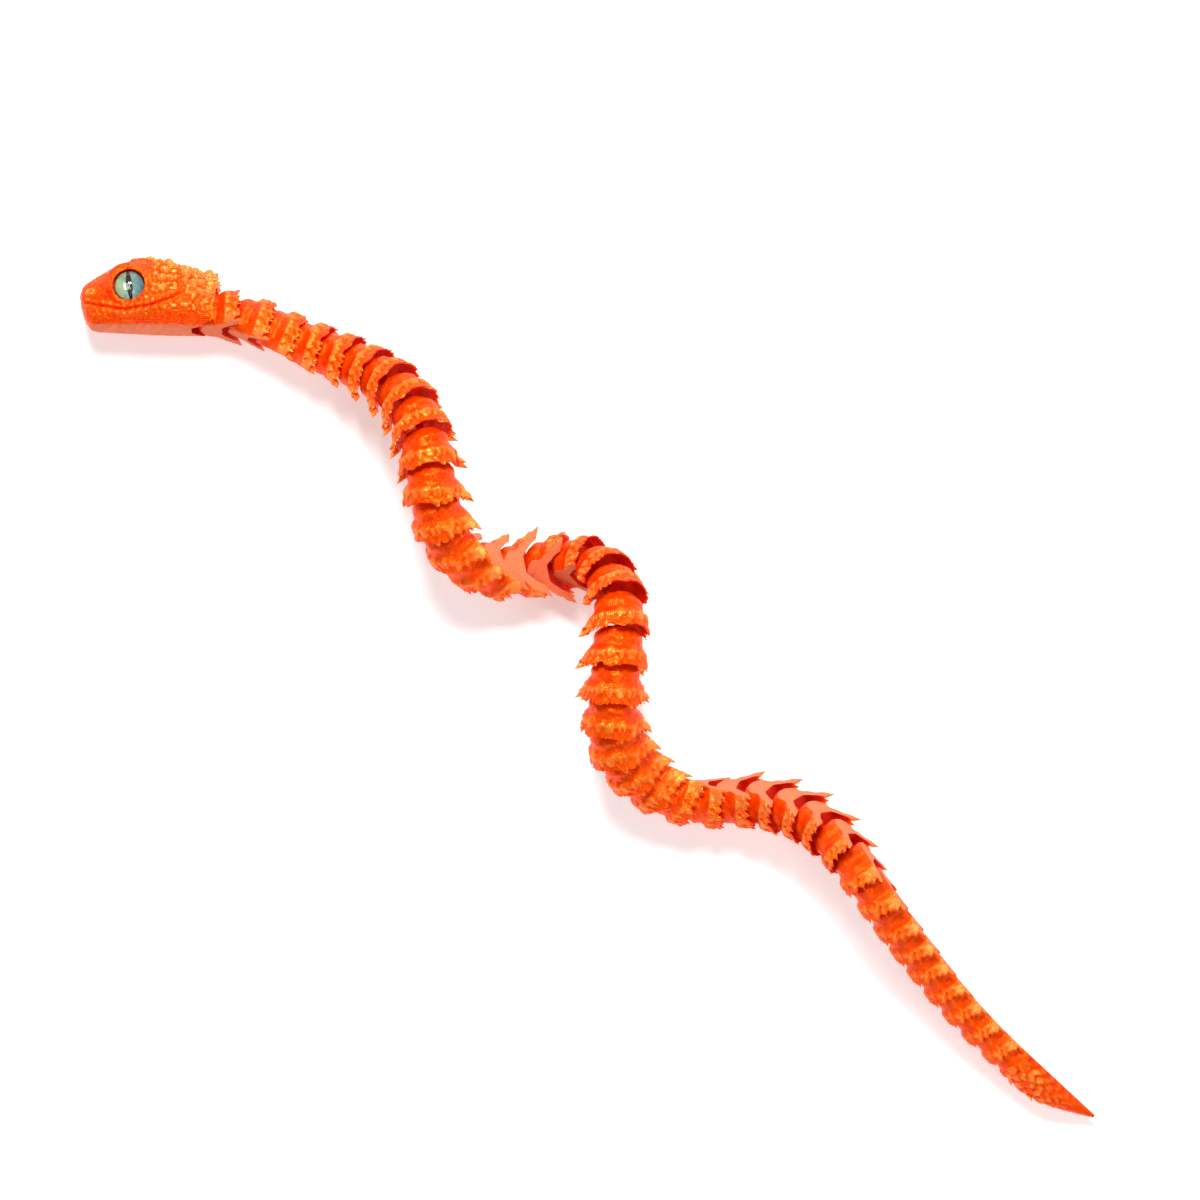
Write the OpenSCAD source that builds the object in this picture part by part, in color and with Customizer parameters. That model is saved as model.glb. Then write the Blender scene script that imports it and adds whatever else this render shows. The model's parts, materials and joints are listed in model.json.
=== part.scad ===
// Articulated snake toy, printed in place, lying in a long rope-like twist.
// Millimetres. +X runs from the head to the tail, +Z is up, and the snake rests on Z = 0.
// Every piece is drawn about its own front joint: x towards the tail, z towards its back.

/* [Body] */
// Number of ring-like segments between the head and the tail tip
segments = 43; // [40:1:44]
// Distance from one joint to the next at the thickest part of the body
pitch = 8.4; // [8.2:0.1:8.6]
// Radius over the serrated rim of a full-size segment
rim_r = 8.1; // [7.9:0.1:8.4]
// Radius of the smooth dome at the front of a full-size segment
dome_r = 6.2; // [5.8:0.1:6.4]
// Height of the joint above the flat belly of a full-size segment
belly = 4.6; // [4.2:0.1:5]

/* [Joints] */
// Radius of the ball of a full-size segment
ball_r = 2.5; // [2.2:0.1:2.6]
// Radius of the tongue that carries the ball
tongue_r = 1; // [0.8:0.1:1.1]
// Gap round the ball, as printed in place
joint_gap = 0.3; // [0.25:0.05:0.4]
// Gap between a dome and the cup that it turns in
cup_gap = 0.4; // [0.35:0.05:0.5]

/* [Eyes] */
// Diameter of the round glass eye
eye_d = 8; // [7:0.5:8]
// Height of the glass over its flat back
eye_dome_h = 2.6; // [2:0.1:3]

/* [Tail] */
// Length of the tail tip behind its joint
tail_l = 30; // [26:0.5:34]

/* [Hidden] */
$fn = 48;

// The route of the body, in which it lies twisted, from the head joint to the tail tip:
// x, y, height and roll. Roll 0 has the back up, and plus rolls it to the left of travel.
ROUTE = [
    [-140.5, 1, 12, 114], [-133, 6.2, 11.7, 104], [-117, 11, 11.1, 78], [-101, 16.2, 16.2, 60],
    [-87, 17.6, 26, 32], [-74.5, 11.6, 32.5, 2], [-62, 0.6, 31, -46], [-50.3, -3.8, 22.5, -96],
    [-39.5, -0.3, 12.5, -146], [-31.5, 8.5, 9.8, -206], [-22, 15.7, 16.9, -262],
    [-11.5, 12.5, 28.5, -312], [-1, -1, 31.5, -350], [10, -14.9, 25, -392],
    [23.8, -17.9, 15, -428], [37, -13.6, 11.5, -455], [47.9, -4.1, 14.1, -475],
    [60.5, 1.5, 21.5, -480], [73.5, 1.6, 29, -466], [88, -2, 28, -454],
    [105, -6.2, 20, -454], [130, -10.8, 12, -450], [167, -13, 5.6, -450]
];
// Moves the middle of the whole snake's box to the origin, and its lowest point to Z = 0
middle = [0.19, 0.15, -1.68];
// The place that the snout points to from the head joint, and the roll of the head
SNOUT = [-166.3, -19.5, 12.2];
snout_roll = 102;
// Thickness along the body, as a share of a full-size segment: place from 0 to 1, share
GIRTH = [[0, 0.9], [0.15, 0.96], [0.3, 1], [0.6, 1], [0.8, 0.88], [1, 0.7]];
// Share of the pitch that stays the same where the body thins
pitch_hold = 0.55;

// Shape of a full-size segment, in shares that girth multiplies
dome_front = 1.8;       // flat front of the dome, ahead of the joint
chamfer_r = 3.9;        // radius of that flat front
cup_depth = 4.2;        // back wall of the cup, ahead of the next joint
boss_r = 2.4;           // foot of the tongue
boss_h = 0.9;
rim_back = 0.6;         // rim ahead of the next joint
hood_reach = 0.4;       // further reach of the rim over the back
tooth_h = 0.6;          // depth of the teeth in the rim
barb_reach = 1.5;       // side barbs behind the next joint
barb_y = 9.6;           // side barbs from the middle
web_back = 0.9;         // belly edge ahead of the next joint, at web_y from the middle
web_y = 6.6;
flare_r = 8;            // wider sphere that opens the rim of the cup
flare_x = 2.6;          // its centre behind the next joint
// The flared wall of a segment: x, radius, half width of its fin at the belly
FLARE = [[0.8, 5.3, 2.6], [2.2, 6.3, 4.7], [4.2, 6.95, 6.1], [4.7, 7.4, 6.4], [5.9, 7.65, 7.2]];
last_ring = [1.8, 7.75, 7.8];   // the same for its last ring, from the next joint forwards
mouth_r = 2.1;          // mouth that the tongue comes through, taller than it is wide
mouth_rows = [-1.5, -0.7, 0.6];
bump = 0.15;            // height of the scales on ring bump_ring of the band
bump_ring = 4;
back_point = 1.6;       // inner end of the band's skin, ahead of the next joint
around = 19;            // points round one ring of a band

// Head, from the front joint of the body: x, top, bottom and half width
HEAD = [
    [-32.8, 4.9, 3, 1.1], [-32.4, 6, 1.1, 2.9], [-31.3, 7.1, -2.2, 4.6],
    [-29.5, 8.2, -4.6, 5.7], [-26.7, 9.8, -5.2, 6.6], [-23.5, 11.6, -5.2, 7.4],
    [-19.9, 12.8, -5.2, 8.4], [-15.8, 13.4, -5.2, 9.3], [-11.6, 13.1, -5.2, 9.5],
    [-7.3, 12, -5.2, 9.1], [-3.2, 10.9, -5.2, 8.4], [-0.8, 10, -5.2, 8]
];
head_belly = 4.2;
collar_belly = -0.6;     // rear edge of the collar, from the joint, and at its sides and top
collar_side = 1.4;
collar_top = 2.6;
head_around = 24;
eye_x = -19.7;
eye_z = 5.5;
eye_back_y = 6.2;       // floor of the eye socket from the middle
iris_t = 0.6;
eye_gap = 0.15;
brow_r = 1.1;
brow_out = 1.4;         // rim of the brow above the socket's floor
brow_deep = 3.2;        // foot of the brow below the socket's floor
brow_foot_r = 6;
glass_r = (pow(eye_d / 2, 2) + pow(eye_dome_h, 2)) / (2 * eye_dome_h);

ORANGE = "#ff6a0a";
GLASS = "#cfe3d8";
IRIS = "#9fb38c";

function segment_name(i) = str("body_segment_", i < 10 ? "0" : "", i);

// A point on the smooth curve through the route, where t counts the route's points
function route_at(t) =
    let (last = len(ROUTE) - 1,
         i = min(floor(t), last - 1),
         f = t - i,
         a = ROUTE[max(i - 1, 0)],
         b = ROUTE[i],
         c = ROUTE[i + 1],
         d = ROUTE[min(i + 2, last)])
    0.5 * (2 * b + (c - a) * f + (2 * a - 5 * b + 4 * c - d) * pow(f, 2)
        + (3 * b - a - 3 * c + d) * pow(f, 3));
function place(p) = [p.x, p.y, p.z];
function unit(v) = v / norm(v);

// Step along the curve until the chord from point p is as long as wanted
function chord_end(p, t, chord, tries) =
    tries == 0 ? t :
    let (here = place(route_at(t)),
         speed = norm(place(route_at(t + 0.01)) - here) / 0.01)
    chord_end(p, t + (chord - norm(here - p)) / speed, chord, tries - 1);
function girth(i) = lookup(i / (segments + 1), GIRTH);
function length_of(i) = pitch * (pitch_hold + (1 - pitch_hold) * girth(i));
function walk(i, t) =
    i > segments ? [t] :
    concat([t], walk(i + 1, chord_end(place(route_at(t)), t + 0.4, length_of(i), 7)));

// Joint 0 stands for the head, whose front joint is the snout's place
steps = walk(1, 0);
joints = [for (t = steps) place(route_at(t))];
rolls = [for (t = steps) route_at(t)[3]];

// A turn and place whose x axis is dir and whose z axis is rolled from straight up
function pose(at, dir, roll) =
    let (x = unit(dir),
         left = unit(cross([0, 0, 1], x)),
         up = cross(x, left),
         z = cos(roll) * up + sin(roll) * left,
         y = cross(z, x))
    [[x.x, y.x, z.x, at.x], [x.y, y.y, z.y, at.y], [x.z, y.z, z.z, at.z], [0, 0, 0, 1]];
tail_end = place(ROUTE[len(ROUTE) - 1]);
function pose_of(i) =
    i == 0 ? pose(joints[0], joints[0] - SNOUT, snout_roll) :
    i > segments ? pose(joints[segments], tail_end - joints[segments], rolls[segments]) :
    pose(joints[i - 1], joints[i] - joints[i - 1], (rolls[i - 1] + rolls[i]) / 2);
module at_piece(i) {
    translate(middle) multmatrix(pose_of(i)) children();
}

// Skin of a closed loft through rings of the same number of points, from front to back,
// with one point that closes each end. Each side is the mirror image of the other.
module loft(rings, front, back) {
    n = len(rings[0]);
    m = len(rings);
    points = concat([front], [for (ring = rings) each ring], [back]);
    last = len(points) - 1;
    faces = concat(
        [for (j = [0:n - 1]) [0, 1 + j, 1 + (j + 1) % n]],
        [for (k = [0:m - 2], j = [0:n - 1], half = [0, 1])
            let (a = 1 + k * n + j, b = 1 + k * n + (j + 1) % n, left = 2 * j < n - 1)
            half == 0 ? [a, left ? a + n : b + n, b] : [left ? b : a, a + n, b + n]],
        [for (j = [0:n - 1]) [last, 1 + (m - 1) * n + (j + 1) % n, 1 + (m - 1) * n + j]]
    );
    polyhedron(points, faces);
}

// A ring across the body: a circle of radius r cut flat at the belly, whose points run
// from one belly corner over the back to the other, with two more points on the belly.
// The corners are drawn out to a fin.
function band_angle(j, r, low) = let (a = asin(min(1, low / r))) -a + j * (180 + 2 * a) / (around - 1);
function with_belly(ring, x, y, low) = concat([[x, y, -low]], ring, [[x, -y, -low]]);
function closed_ring(x, r, fin, low, bump = 0) =
    with_belly(
        [for (j = [0:around - 1])
            let (a = band_angle(j, r, low), rr = r + (j % 2 == 0 ? bump : -bump),
                 corner = j == 0 || j == around - 1)
            corner ? [x, sign(cos(a)) * fin, -low] : [x, rr * cos(a), rr * sin(a)]],
        x, 0.7 * fin, low);

// The serrated rim, with a hood over the back and a barb at each belly corner. The belly
// ends ahead of the barbs, so that the next piece can swing between them.
function rim_ring(x, r, low, hood, tooth, barb, web) =
    with_belly(
        [for (j = [0:around - 1])
            let (a = band_angle(j, r, low), corner = j == 0 || j == around - 1)
            corner ? [barb.x, sign(cos(a)) * barb.y, -low] :
            [x + hood * max(0, sin(a)) + (j % 2 == 0 ? tooth : -tooth), r * cos(a), r * sin(a)]],
        web.x, web.y, low);

// The front of a piece: a smooth dome, and the socket in it for the ball ahead, with the
// mouth that the tongue comes through
module dome(g) {
    intersection() {
        sphere(dome_r * g);
        translate([-dome_front * g, -dome_r, -belly * g]) cube([2 * dome_r, 2 * dome_r, 3 * dome_r]);
        translate([-dome_front * g, 0, 0]) rotate([0, 90, 0])
            cylinder(h = 3 * dome_r, r1 = chamfer_r * g, r2 = (chamfer_r + 3 * dome_r) * g);
    }
}
module socket(g) {
    sphere(ball_r * g + joint_gap);
    for (z = mouth_rows)
        translate([-2 * dome_front * g, 0, z * g]) rotate([0, 90, 0])
            cylinder(h = 1.6 * dome_front * g, r = mouth_r * g);
}

// The back of a piece: a cup for the next dome, and the tongue and ball in it.
// x is the place of the next joint, and g the girth of the next piece.
module cup(x, g) {
    intersection() {
        union() {
            translate([x, 0, 0]) sphere(dome_r * g + cup_gap);
            translate([x + flare_x * g, 0, 0]) sphere(flare_r * g);
        }
        translate([x - cup_depth * g, -2 * dome_r, -2 * dome_r])
            cube([6 * dome_r, 4 * dome_r, 4 * dome_r]);
    }
}
module ball(x, g) {
    foot = x - cup_depth * g;
    translate([foot - boss_h * g, 0, 0]) rotate([0, 90, 0])
        cylinder(h = boss_h * g, r = boss_r * g);
    translate([foot, 0, 0]) rotate([0, 90, 0])
        cylinder(h = boss_h * g, r1 = boss_r * g, r2 = tongue_r * g);
    translate([foot, 0, 0]) rotate([0, 90, 0])
        cylinder(h = cup_depth * g, r = tongue_r * g);
    translate([x, 0, 0]) sphere(ball_r * g);
}

module band(l, g) {
    low = belly * g;
    loft(concat(
        [for (k = [0:len(FLARE) - 1])
            let (f = FLARE[k] * g)
            closed_ring(f.x, f.y, f.z, low, (k == bump_ring ? bump : 0) * g)],
        [closed_ring(l - last_ring.x * g, last_ring.y * g, last_ring.z * g, low, -bump * g),
        rim_ring(l - rim_back * g, rim_r * g, low, hood_reach * g, tooth_h * g,
            [l + barb_reach * g, barb_y * g], [l - web_back * g, web_y * g])]
    ), [0.4 * g, 0, 0], [l - back_point * g, 0, 0]);
}

module body_segment(i) {
    g = girth(i);
    next_g = girth(i + 1);
    l = length_of(i);
    color(ORANGE) at_piece(i) {
        difference() {
            union() {
                dome(g);
                band(l, g);
            }
            cup(l, next_g);
            socket(g);
        }
        ball(l, next_g);
    }
}

// A ring across the head: an egg shape that is cut flat below
function head_ring(x, top, bottom, w) =
    let (mid = bottom + 0.42 * (top - bottom))
    [for (j = [0:head_around - 1])
        let (a = j * 360 / head_around - 90 + 180 / head_around,
             c = sign(cos(a)) * pow(abs(cos(a)), 0.8),
             s = sin(a))
        [x, w * c, mid + s * (s > 0 ? top - mid : mid - bottom)]];
// The collar behind the head: low at the belly, with a hood over the first segment
function collar_ring() =
    let (base = head_ring(0, 9.7, -5.2, 8.1))
    [for (j = [0:head_around - 1])
        let (p = base[j], barb = abs(p.z + head_belly) < 1.2 && abs(p.y) > 3,
             tooth = (j % 2 == 0 ? 1 : -1) * tooth_h)
        barb ? [collar_side, sign(p.y) * 8.3, -head_belly - 0.3] :
        p.z < -head_belly ? [collar_belly, p.y, p.z] :
        [collar_side + tooth + (collar_top - collar_side) * max(0, p.z / 9.7), p.y, p.z]];

module head_shell() {
    rings = [for (h = HEAD) head_ring(h[0], h[1], h[2], h[3])];
    difference() {
        loft(concat(rings, [collar_ring()]), [-33, 0, 4], [-1.2, 0, 0]);
        translate([-50, -50, -50 - head_belly]) cube([100, 100, 50]);
    }
}
module brow() {
    translate([eye_x, eye_back_y, eye_z]) rotate([-90, 0, 0]) {
        translate([0, 0, -brow_deep])
            cylinder(h = brow_deep + brow_out, r1 = brow_foot_r, r2 = eye_d / 2 + brow_r);
        translate([0, 0, brow_out]) rotate_extrude()
            translate([eye_d / 2 + brow_r / 2, 0]) circle(brow_r / 2);
    }
}
module eye_socket() {
    translate([eye_x, eye_back_y, eye_z]) rotate([-90, 0, 0])
        cylinder(h = 3 * eye_d, r = eye_d / 2 + eye_gap);
}
module head() {
    g = girth(1);
    color(ORANGE) at_piece(0) {
        difference() {
            union() {
                head_shell();
                brow();
                mirror([0, 1, 0]) brow();
            }
            cup(0, g);
            eye_socket();
            mirror([0, 1, 0]) eye_socket();
        }
        ball(0, g);
    }
}

module eye_glass(side) {
    color(GLASS, 0.6) at_piece(0) translate([eye_x, side * (eye_back_y + iris_t), eye_z])
        rotate([-90 * side, 0, 0]) intersection() {
            translate([0, 0, eye_dome_h - glass_r]) sphere(glass_r);
            cylinder(h = 2 * eye_dome_h, r = eye_d);
        }
}
module eye_iris(side) {
    color(IRIS) at_piece(0) translate([eye_x, side * eye_back_y, eye_z])
        rotate([-90 * side, 0, 0]) cylinder(h = iris_t, r = eye_d / 2);
}

// A ring across the tail tip, whose flat belly stays on one plane as it thins
function tail_ring(x, r, low, bump) =
    let (mid = -low + min(low, 0.75 * r))
    [for (j = [0:around - 1])
        let (a = band_angle(j, r, min(low, 0.75 * r)), rr = r + (j % 2 == 0 ? bump : -bump))
        [x, rr * cos(a), max(-low, mid + rr * sin(a))]];
module tail_loft(g) {
    low = belly * g;
    stations = [[0.22, 7.3], [0.34, 7.1], [0.46, 6.4], [0.58, 5.5], [0.7, 4.3], [0.82, 2.9], [0.93, 1.4]];
    loft(concat(
        [tail_ring(0.8 * g, 5.3 * g, low, 0), tail_ring(2.2 * g, 6.3 * g, low, 0),
            tail_ring(4.2 * g, 6.9 * g, low, 0)],
        [for (k = [0:len(stations) - 1])
            let (s = stations[k])
            tail_ring(s[0] * tail_l, s[1] * g, low, (k % 2 == 0 ? 0.03 : -0.03) * s[1] * g)]
    ), [0.4 * g, 0, 0], [tail_l, 0, -low + 0.5 * g]);
}
module tail_tip() {
    g = girth(segments + 1);
    color(ORANGE) at_piece(segments + 1) difference() {
        union() {
            dome(g);
            tail_loft(g);
        }
        socket(g);
    }
}

head();
eye_glass(-1);  // left_eye_glass
eye_iris(-1);  // left_eye_iris
eye_glass(1);  // right_eye_glass
eye_iris(1);  // right_eye_iris
for (i = [1:segments]) body_segment(i);
tail_tip();
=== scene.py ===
import json
import math
import random

import bmesh
import bpy
import numpy as np
from mathutils import Matrix, Vector, noise
from mathutils.bvhtree import BVHTree


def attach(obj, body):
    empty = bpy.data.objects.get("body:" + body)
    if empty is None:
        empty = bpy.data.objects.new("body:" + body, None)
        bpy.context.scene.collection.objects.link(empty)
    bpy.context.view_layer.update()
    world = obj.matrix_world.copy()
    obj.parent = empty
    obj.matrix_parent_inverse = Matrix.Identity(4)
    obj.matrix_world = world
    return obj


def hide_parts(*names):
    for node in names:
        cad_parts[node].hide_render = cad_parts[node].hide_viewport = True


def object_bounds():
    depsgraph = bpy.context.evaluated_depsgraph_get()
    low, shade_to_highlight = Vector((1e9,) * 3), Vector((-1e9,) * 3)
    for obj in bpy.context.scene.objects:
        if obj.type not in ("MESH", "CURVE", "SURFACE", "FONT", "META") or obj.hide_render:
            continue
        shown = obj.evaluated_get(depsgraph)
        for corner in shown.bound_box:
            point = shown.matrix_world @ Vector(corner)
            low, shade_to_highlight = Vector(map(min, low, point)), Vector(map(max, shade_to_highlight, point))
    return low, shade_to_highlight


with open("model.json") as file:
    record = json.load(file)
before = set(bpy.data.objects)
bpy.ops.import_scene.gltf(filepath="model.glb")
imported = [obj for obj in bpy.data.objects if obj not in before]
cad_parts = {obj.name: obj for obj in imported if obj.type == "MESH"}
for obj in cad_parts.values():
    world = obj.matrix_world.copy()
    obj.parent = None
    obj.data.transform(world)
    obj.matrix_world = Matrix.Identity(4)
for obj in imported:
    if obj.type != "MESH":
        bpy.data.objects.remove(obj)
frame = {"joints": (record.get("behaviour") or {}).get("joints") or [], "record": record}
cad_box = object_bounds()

# Articulated snake toy, printed in place in silk plastic.
# Each piece is modelled in millimetres about its own front joint, with x towards the tail
# and z towards the snake's back, and is then set in the row frame, in metres.
MM = 0.001
BOX_LOW, BOX_HIGH = (np.array(corner) for corner in cad_box)
# the chain: its pitch, and its share of full girth from the head (0) to the tail tip (1)
SEGMENTS = 43
PITCH = 8.4
GIRTH_PLACES = [0, 0.15, 0.3, 0.6, 0.8, 1]
GIRTH_SHARES = [0.9, 0.96, 1, 1, 0.88, 0.7]
# the round front of a segment, the hollow behind it, and the ball between two segments
DOME_R = 6.2
CUP_GAP = 0.4
CUP_DEPTH = 4.2
FLARE_R, FLARE_X = 8.0, 2.6
BALL_R = 2.5
BALL_GAP = 0.3
TONGUE_R, BOSS_R = 1.0, 2.6
# the mouth of the socket, cut by rods one above the other
SLOT_Z = (-1.5, -0.7, 0.6)
SLOT_FROM, SLOT_TO, SLOT_R = -3.6, -0.7, 2.1
# how far below its joint the flat face of a segment and of the head lies, as it lay on the
# print bed, and how near to it a point counts as flat
BELLY = 4.6
HEAD_BELLY = 4.2
BED_CLOSE = 0.02
# the eye: its middle, the floor of its socket, its glass and its disc
EYE_X, EYE_Z = -19.7, 5.5
EYE_FLOOR = 6.2
EYE_R = 4.0
EYE_GAP = 0.15
EYE_DOME = 2.6
IRIS_T = 0.6
# where the tail ends, in the row frame
TAIL_END = (167.19, -12.85, 3.92)


# Selecting and shaping, as by hand

def nothing_selected():
    bpy.ops.object.select_all(action="DESELECT")


def only(piece):
    nothing_selected()
    piece.select_set(True)
    bpy.context.view_layer.objects.active = piece


def named(name):
    piece = bpy.context.object
    piece.name = name
    piece.data.name = name
    bpy.ops.object.transform_apply(location=True, rotation=True, scale=True)
    return piece


def edit(piece):
    """Goes into edit mode with the whole piece selected."""
    only(piece)
    bpy.ops.object.mode_set(mode="EDIT")
    bpy.ops.mesh.select_all(action="SELECT")


def end_edit():
    bpy.ops.object.mode_set(mode="OBJECT")


def choose(test):
    """Selects, in edit mode, the points whose place passes the test."""
    shape = bmesh.from_edit_mesh(bpy.context.object.data)
    for point in shape.verts:
        point.select = bool(test(point.co))
    shape.select_flush_mode()
    bmesh.update_edit_mesh(bpy.context.object.data)


def finish_modifier(piece, kind, **settings):
    only(piece)
    modifier = piece.modifiers.new(kind.title(), kind)
    for key, value in settings.items():
        setattr(modifier, key, value)
    bpy.ops.object.modifier_apply(modifier=modifier.name)


def joined(name, pieces):
    only(pieces[0])
    for piece in pieces:
        piece.select_set(True)
    bpy.ops.object.join()
    return named(name)


def cut(piece, tool, operation="DIFFERENCE"):
    finish_modifier(piece, "BOOLEAN", object=tool, operation=operation, solver="EXACT")
    bpy.data.objects.remove(tool)


def sliced(piece, point, keep):
    """Keeps what lies past a plane, in the direction keep, and closes the flat face."""
    edit(piece)
    bpy.ops.mesh.bisect(plane_co=point, plane_no=keep, use_fill=True, clear_inner=True)
    end_edit()


def cut_flat(piece, height):
    """Cuts away all that is lower than the print bed."""
    sliced(piece, (0, 0, height), (0, 0, 1))


def fused(piece, voxel):
    """Melts overlapping forms into one closed skin."""
    finish_modifier(piece, "REMESH", mode="VOXEL", voxel_size=voxel)


def thinned(piece, triangles):
    faces = sum(len(f.vertices) - 2 for f in piece.data.polygons)
    if faces > triangles:
        finish_modifier(piece, "DECIMATE", ratio=triangles / faces)


def without_crumbs(piece):
    """Keeps the whole body and drops the crumbs that a cut leaves at a thin rim."""
    only(piece)
    bpy.ops.mesh.separate(type="LOOSE")
    parts = list(bpy.context.selected_objects)
    body = max(parts, key=lambda part: len(part.data.vertices))
    for part in parts:
        if part != body:
            bpy.data.objects.remove(part)
    return body


def smooth(piece, angle=38):
    only(piece)
    bpy.ops.object.shade_smooth_by_angle(angle=math.radians(angle))


# Simple tools and fillings

def ball(name, radius, x, y=0, z=0, rings=24):
    nothing_selected()
    bpy.ops.mesh.primitive_uv_sphere_add(segments=2 * rings, ring_count=rings, radius=radius,
                                         location=(x, y, z), rotation=(0, math.pi / 2, 0))
    return named(name)


def rod(name, x0, x1, r0, r1, y=0, z=0, sides=40):
    """A rod or cone along x."""
    nothing_selected()
    bpy.ops.mesh.primitive_cone_add(vertices=sides, radius1=r0, radius2=r1, depth=x1 - x0,
                                    location=((x0 + x1) / 2, y, z),
                                    rotation=(0, math.pi / 2, 0))
    return named(name)


def shell(name, stations, around):
    """A closed skin along x: one ring for each (x, half width, top, bottom)."""
    x, w, top, bottom = stations[0]
    nothing_selected()
    bpy.ops.mesh.primitive_circle_add(vertices=around, radius=1, fill_type="NGON",
                                      location=(x, 0, (top + bottom) / 2),
                                      rotation=(math.pi / 2, 0, math.pi / 2))
    piece = named(name)
    edit(piece)
    h = (top - bottom) / 2
    bpy.ops.transform.resize(value=(1, w, h))
    for x2, w2, top2, bottom2 in stations[1:]:
        h2 = (top2 - bottom2) / 2
        bpy.ops.mesh.extrude_region_move(TRANSFORM_OT_translate={
            "value": (x2 - x, 0, (top2 + bottom2 - top - bottom) / 2)})
        bpy.ops.transform.resize(value=(1, w2 / w, h2 / h))
        x, w, h, top, bottom = x2, w2, h2, top2, bottom2
    bpy.ops.mesh.select_all(action="SELECT")
    bpy.ops.mesh.normals_make_consistent(inside=False)
    end_edit()
    return piece


def moved_points(piece, change):
    """Pulls each point of a piece to a new place, as with a proportional drag."""
    for point in piece.data.vertices:
        point.co = change(point.co)


def pushed(piece, change):
    """Moves each point along its own outward direction, as with a sculpting brush."""
    mesh = piece.data
    outward = [v.normal.copy() for v in mesh.vertices]
    for point, n in zip(mesh.vertices, outward):
        point.co = change(point.co, n)
    mesh.update()


def one_scale(name, length, width, height, point=0.35):
    """One keeled scale that lies along x, its pointed end at the back."""
    nothing_selected()
    bpy.ops.mesh.primitive_uv_sphere_add(segments=10, ring_count=8, radius=1,
                                         rotation=(0, math.pi / 2, 0))
    piece = named(name)
    edit(piece)
    bpy.ops.transform.resize(value=(length / 2, width / 2, height))
    choose(lambda p: p.x > length * 0.3)
    bpy.ops.transform.resize(value=(1, point, 0.8))
    choose(lambda p: p.x > length * 0.42)
    bpy.ops.transform.translate(value=(length * 0.16, 0, height * 0.35))
    end_edit()
    return piece


def copy_of(piece, place):
    """A copy with its own mesh, moved to a place."""
    twin = piece.copy()
    twin.data = piece.data.copy()
    bpy.context.scene.collection.objects.link(twin)
    twin.data.transform(place)
    return twin


def on_ring(x, radius, angle, tilt, size):
    """The place of a scale on a ring: angle from the right side over the back, in degrees."""
    return (Matrix.Rotation(math.radians(angle - 90), 4, "X")
            @ Matrix.Translation((x, 0, radius))
            @ Matrix.Rotation(math.radians(-tilt), 4, "Y")
            @ Matrix.Diagonal((size, size, size, 1)))


def frame_matrix(x, y, z, origin):
    """The place whose own x, y and z point along the three given directions."""
    return Matrix((
        (x.x, y.x, z.x, origin.x), (x.y, y.y, z.y, origin.y), (x.z, y.z, z.z, origin.z),
        (0, 0, 0, 1)))


def skin_of(piece):
    """The skin of a piece as it is now, for rays and nearest points."""
    shape = bmesh.new()
    shape.from_mesh(piece.data)
    skin = BVHTree.FromBMesh(shape)
    shape.free()
    return skin


def on_skin(skin, x, axis_z, angle):
    """The place on a skin that is met from the axis outwards, or None."""
    a = math.radians(angle)
    hit, normal, _, _ = skin.ray_cast(Vector((x, 0, axis_z)),
                                      Vector((0, math.cos(a), math.sin(a))))
    if hit is None:
        return None
    along = (Vector((1, 0, 0)) - normal * normal.x).normalized()
    return frame_matrix(along, normal.cross(along), normal, hit)


# Shared forms of the printed pieces

def curve(places, values, at):
    """A smooth curve through the given points."""
    xs, ys = np.array(places, float), np.array(values, float)
    slope = np.gradient(ys, xs)
    i = np.clip(np.searchsorted(xs, at) - 1, 0, len(xs) - 2)
    step = xs[i + 1] - xs[i]
    t = np.clip((at - xs[i]) / step, 0, 1)
    return ((2 * t ** 3 - 3 * t ** 2 + 1) * ys[i] + (t ** 3 - 2 * t ** 2 + t) * step * slope[i]
            + (3 * t ** 2 - 2 * t ** 3) * ys[i + 1] + (t ** 3 - t ** 2) * step * slope[i + 1])


def eased(share):
    """Takes a share to between 0 and 1, with soft ends."""
    share = min(1.0, max(0.0, share))
    return share * share * (3 - 2 * share)


def grainy(piece, size, height):
    """Roughens a skin by small random dents and grains."""
    def rough(p, n):
        return p + n * height * noise.noise(p / size)
    pushed(piece, rough)


def softened(piece):
    """One light stroke of smoothing, over the steps that the melting leaves."""
    finish_modifier(piece, "SMOOTH", factor=0.5, iterations=1)


def cup_tool(x, g):
    """The hollow for the next dome: a ball, opened by a wider one, with a flat back wall."""
    tools = [ball("cup", DOME_R * g + CUP_GAP, x, rings=32),
             ball("cup_mouth", FLARE_R * g, x + FLARE_X * g, rings=32)]
    for tool in tools:
        sliced(tool, (x - CUP_DEPTH * g, 0, 0), (1, 0, 0))
    return tools


def hollow_front(piece, g=1.0):
    """The socket and its mouth, a slot in which the tongue swings."""
    cut(piece, ball("socket", BALL_R * g + BALL_GAP, 0))
    for z in SLOT_Z:
        cut(piece, rod("mouth", SLOT_FROM * g, SLOT_TO * g, SLOT_R * g, SLOT_R * g, z=z * g))


def hollow_back(piece, x, g=1.0):
    for tool in cup_tool(x, g):
        cut(piece, tool)


def add_ball(piece, x, g=1.0):
    """The ball at x, on a tongue that stands on the back wall."""
    foot = x - CUP_DEPTH * g
    cut(piece, rod("boss", foot - 0.6 * g, foot + 0.9 * g, BOSS_R * g, TONGUE_R * g),
        "UNION")
    cut(piece, rod("tongue", foot + 0.4 * g, x, TONGUE_R * g, TONGUE_R * g), "UNION")
    cut(piece, ball("ball", BALL_R * g, x, rings=16), "UNION")


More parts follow.
